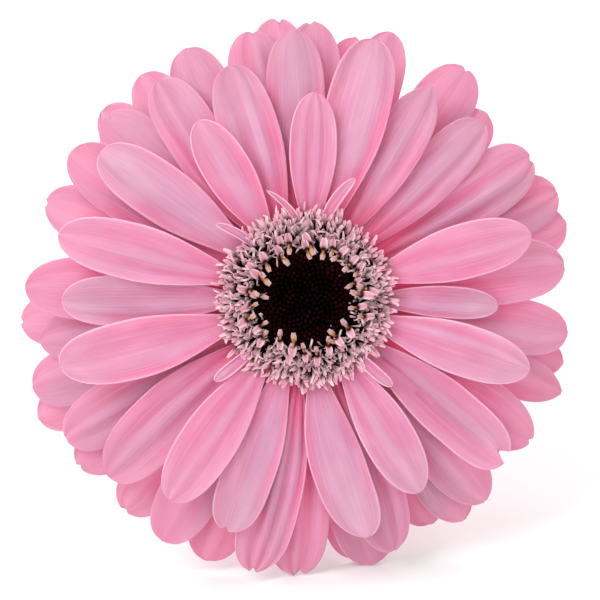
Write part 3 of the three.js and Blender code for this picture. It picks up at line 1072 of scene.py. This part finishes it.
def bract(line, width):
    """One bract, which follows the cup up from the neck and ends in a free point."""
    share = np.linspace(0, 1, BRACT_STATIONS)
    widths = width * (0.4 + 0.6 * np.sin(np.minimum(share / 0.45, 1) * math.pi / 2))
    widths *= np.maximum(1 - np.maximum((share - 0.45) / 0.55, 0) ** 1.7, 0.06)
    return leaf(smooth_line(line, BRACT_STATIONS), widths, 0.34, -0.1, 4)


# Each row follows the CAD cup, given as (radius, height) points; outer rows lie over inner ones.
BRACT_ROWS = [
    ("bracts_inner", [(3.9, -12.3), (9.4, -9.4), (12.5, -6.7), (17.0, -6.1)], 4.0, 18),
    ("bracts_middle", [(3.9, -12.8), (8.9, -10.4), (11.6, -8.4), (14.6, -7.4)], 3.8, 17),
    ("bracts_outer", [(3.8, -13.2), (7.4, -11.9), (9.4, -10.7), (11.2, -10.3)], 3.4, 14),
]
for i, (name, line, width, count) in enumerate(BRACT_ROWS):
    row = {"Material": bract_green, "Count": count, "Outer": 0.0, "Step": 2 * math.pi / count}
    row.update({"Turn": 0.17 * i, "Scatter": 0.06, "Wobble": 0.03, "Seed": 5 + i})
    plant(name, [bract(line, width)], "bract", row, *(["involucre"] if i == 0 else []))


# %% [markdown]
# ## The stem
# A gerbera's stem has no leaves. It is round, a little ribbed, hollow inside and covered in short
# down, and it was cut on a slant. Its path and its thickness come from the CAD stem: the rings of
# that solid are far apart, so its corners fall into groups along the path, one for each ring.

# %% Follow the CAD stem
RING_GAP = 0.0025  # m; the corners of one ring lie closer together along Y
stem_points = corners("stem")
stem_points = stem_points[stem_points[:, 1].argsort()]
breaks = np.flatnonzero(np.diff(stem_points[:, 1]) > RING_GAP) + 1
groups = np.split(stem_points, breaks)
centres = np.array([group.mean(0) for group in groups])
radii = [np.linalg.norm(g - c, axis=1).max() for g, c in zip(groups, centres)]
radii[-1] = radii[-2]  # the last ring is cut on a slant, which would make it look wider
print("the CAD stem has", len(groups), "rings")

# %% [markdown]
# ## Skin of the stem
# A curve with a round profile would give a plain tube. Rings built one by one can have ribs, and
# the last few can be turned towards the slanted cut, so the ribs run on to its rim. More rings
# then turn inwards there and make the wall and the hollow.

# %% Stem with its cut end
STEM_STATIONS = 190
STEM_SIDES = 40
STEM_RIBS = 9
RIB_DEPTH = 0.035  # share of the radius
CUT_RINGS = 6
CUT_SLANT = math.radians(35)


def stem_rings():
    """Ribbed rings along the path, the last few turned step by step to the slanted cut."""
    line = smooth_line(np.column_stack([centres, radii]), STEM_STATIONS)
    path = line[:, :3]
    ahead = np.gradient(path, axis=0)
    ahead /= np.linalg.norm(ahead, axis=1)[:, None]
    right = np.array([1.0, 0, 0]) - ahead[:, :1] * ahead
    right /= np.linalg.norm(right, axis=1)[:, None]
    up = np.cross(right, ahead)
    turn = np.arange(STEM_SIDES) * 2 * math.pi / STEM_SIDES
    rings = []
    for i in range(STEM_STATIONS):
        ribs = 1 - RIB_DEPTH + RIB_DEPTH * np.cos(turn * STEM_RIBS + 0.4 * math.sin(i / 25))
        around = np.outer(np.cos(turn) * ribs, right[i]) + np.outer(np.sin(turn) * ribs, up[i])
        around *= line[i, 3]
        slant = math.tan(CUT_SLANT) * max(0.0, 1 - (STEM_STATIONS - 1 - i) / CUT_RINGS)
        rings.append(path[i] + around - np.outer(around @ up[i] * slant, ahead[i]))
    return rings, ahead[-1]


rings, cut_direction = stem_rings()
cut_rim = rings[-1]
cut_middle = cut_rim.mean(0)
HOLLOW = [(0.93, -0.0002), (0.80, 0.0), (0.52, 0.0001), (0.46, 0.0022), (0.30, 0.003)]
for share, depth in HOLLOW:  # share of the rim's width, depth below it
    rings.append(cut_middle + (cut_rim - cut_middle) * share - cut_direction * depth)
stem_mesh = in_place(tube(rings[::-1]), stem_green, Matrix())
stem = finished("stem_fine", stem_mesh, "stem", "stem")
print("the stem has", len(stem_mesh.polygons), "faces")

# %% [markdown]
# ## Down on the stem
# The down is what makes a gerbera's stem look soft against the light. Geometry Nodes scatter
# points over the stem's skin and set a hair on each, upright to the skin. A hair is a cone with
# three sides and no base: it is far too small for anyone to count them.


# %% Down on the stem
def down_rule():
    """Short hairs that stand on a skin, which is the mesh that the rule is given."""
    tree, given = new_rule("down", {"Material": None, "Density": 300000.0, "Seed": 4})
    skin = tree.interface.new_socket("Skin", in_out="INPUT", socket_type="NodeSocketGeometry")
    tree.interface.move(skin, 0)
    spread = {"Mesh": given["Skin"], "Density": given["Density"], "Seed": given["Seed"]}
    points = given.add("GeometryNodeDistributePointsOnFaces", {}, spread)
    hair = {"Vertices": 3, "Radius Bottom": 0.000035, "Radius Top": 0.000005, "Depth": 0.0007}
    hair = given.add("GeometryNodeMeshCone", {}, hair)
    size = given.add("FunctionNodeRandomValue", {}, {"Min": 0.5, "Max": 1.3, "Seed": given["Seed"]})
    planted = {"Points": points, "Instance": hair, "Rotation": points["Rotation"]}
    planted["Scale"] = given.vector(1.0, 1.0, size)
    end_rule(given.add("GeometryNodeInstanceOnPoints", {}, planted), given)
    return tree


down = grow(down_rule(), {"Material": stem_green}, Matrix(), stem.data.copy())
print("the stem has", len(down.polygons) // 4, "hairs")
finished("stem_down", down, "stem")

# %% [markdown]
# ## Floor
# The flower lies on a large pale sheet, which isn't part of the flower. A faint grain in its colour
# and its gloss keeps it from looking like a hole in the picture.


# %% Floor
def paper_finish():
    """Nearly white, with a faint grain."""
    material, shader = new_finish("pale_paper", {"Specular IOR Level": 0.2})
    grain = noise(shader, place_on(shader), 60.0, 4.0)
    color = grain.tint((0.93, 0.93, 0.93, 1.0), (0.96, 0.96, 0.96, 1.0))
    feed(shader, base_color=color, roughness=0.6 + grain * 0.1)
    return material


bpy.ops.mesh.primitive_plane_add(size=12.0, location=(0, 0, -0.0002))
floor = bpy.context.object
floor.name = "floor"
floor.data.materials.append(paper_finish())
print("the floor lies at", round(floor.location.z, 4), "m")

# %% [markdown]
# ## Light
# One broad lamp stands to the upper left, a wide one hangs above and a weak one keeps the right
# side open. The white world fills the shadows, because petals glow where light passes through
# them and never turn black. Larger lamps make softer shadows.


# %% Lamps and world
def lamp(name, offset, size, power):
    """A square lamp that points at the head, offset from it in metres."""
    data = bpy.data.lights.new(name, "AREA")
    data.shape = "SQUARE"
    data.size = size
    data.energy = power
    thing = bpy.data.objects.new(name, data)
    thing.location = head_origin + Vector(offset)
    thing.rotation_euler = (-Vector(offset)).to_track_quat("-Z", "Y").to_euler()
    thing.visible_camera = False
    bpy.context.scene.collection.objects.link(thing)


lamp("key", (-0.38, -0.32, 0.52), 0.5, 3.0)
lamp("fill", (0.8, -0.6, 0.35), 0.8, 0.4)
lamp("over", (-0.1, 0.5, 1.1), 0.9, 6.5)

world = bpy.data.worlds.new("studio")
world.use_nodes = True
background = world.node_tree.nodes["Background"]
background.inputs["Color"].default_value = (1.0, 1.0, 1.0, 1.0)
background.inputs["Strength"].default_value = 0.8
bpy.context.scene.world = world
bpy.context.scene.view_settings.view_transform = "Standard"

# %% [markdown]
# ## Camera
# The camera looks straight at the face, along the head's axis, and its top is the head's top. It
# stands far away with a long lens, because a near one would make the rays at the rim look short.

# %% Camera
CAMERA_AWAY = 800.0  # mm in front of the face
FRAME_WIDTH = 120.0  # mm across at the face
FRAME_MIDDLE = (-1.2, -0.4)  # mm right of and above the head's axis

camera_data = bpy.data.cameras.new("camera")
camera_data.lens = camera_data.sensor_width * CAMERA_AWAY / FRAME_WIDTH
camera_data.clip_end = 50.0
camera = bpy.data.objects.new("camera", camera_data)
facing = Matrix((head_right, head_top, head_axis)).transposed().to_4x4()
camera.matrix_world = Matrix.Translation(HEAD @ Vector((*FRAME_MIDDLE, CAMERA_AWAY))) @ facing
bpy.context.scene.collection.objects.link(camera)
bpy.context.scene.camera = camera
print("the lens is", round(camera_data.lens), "mm long")
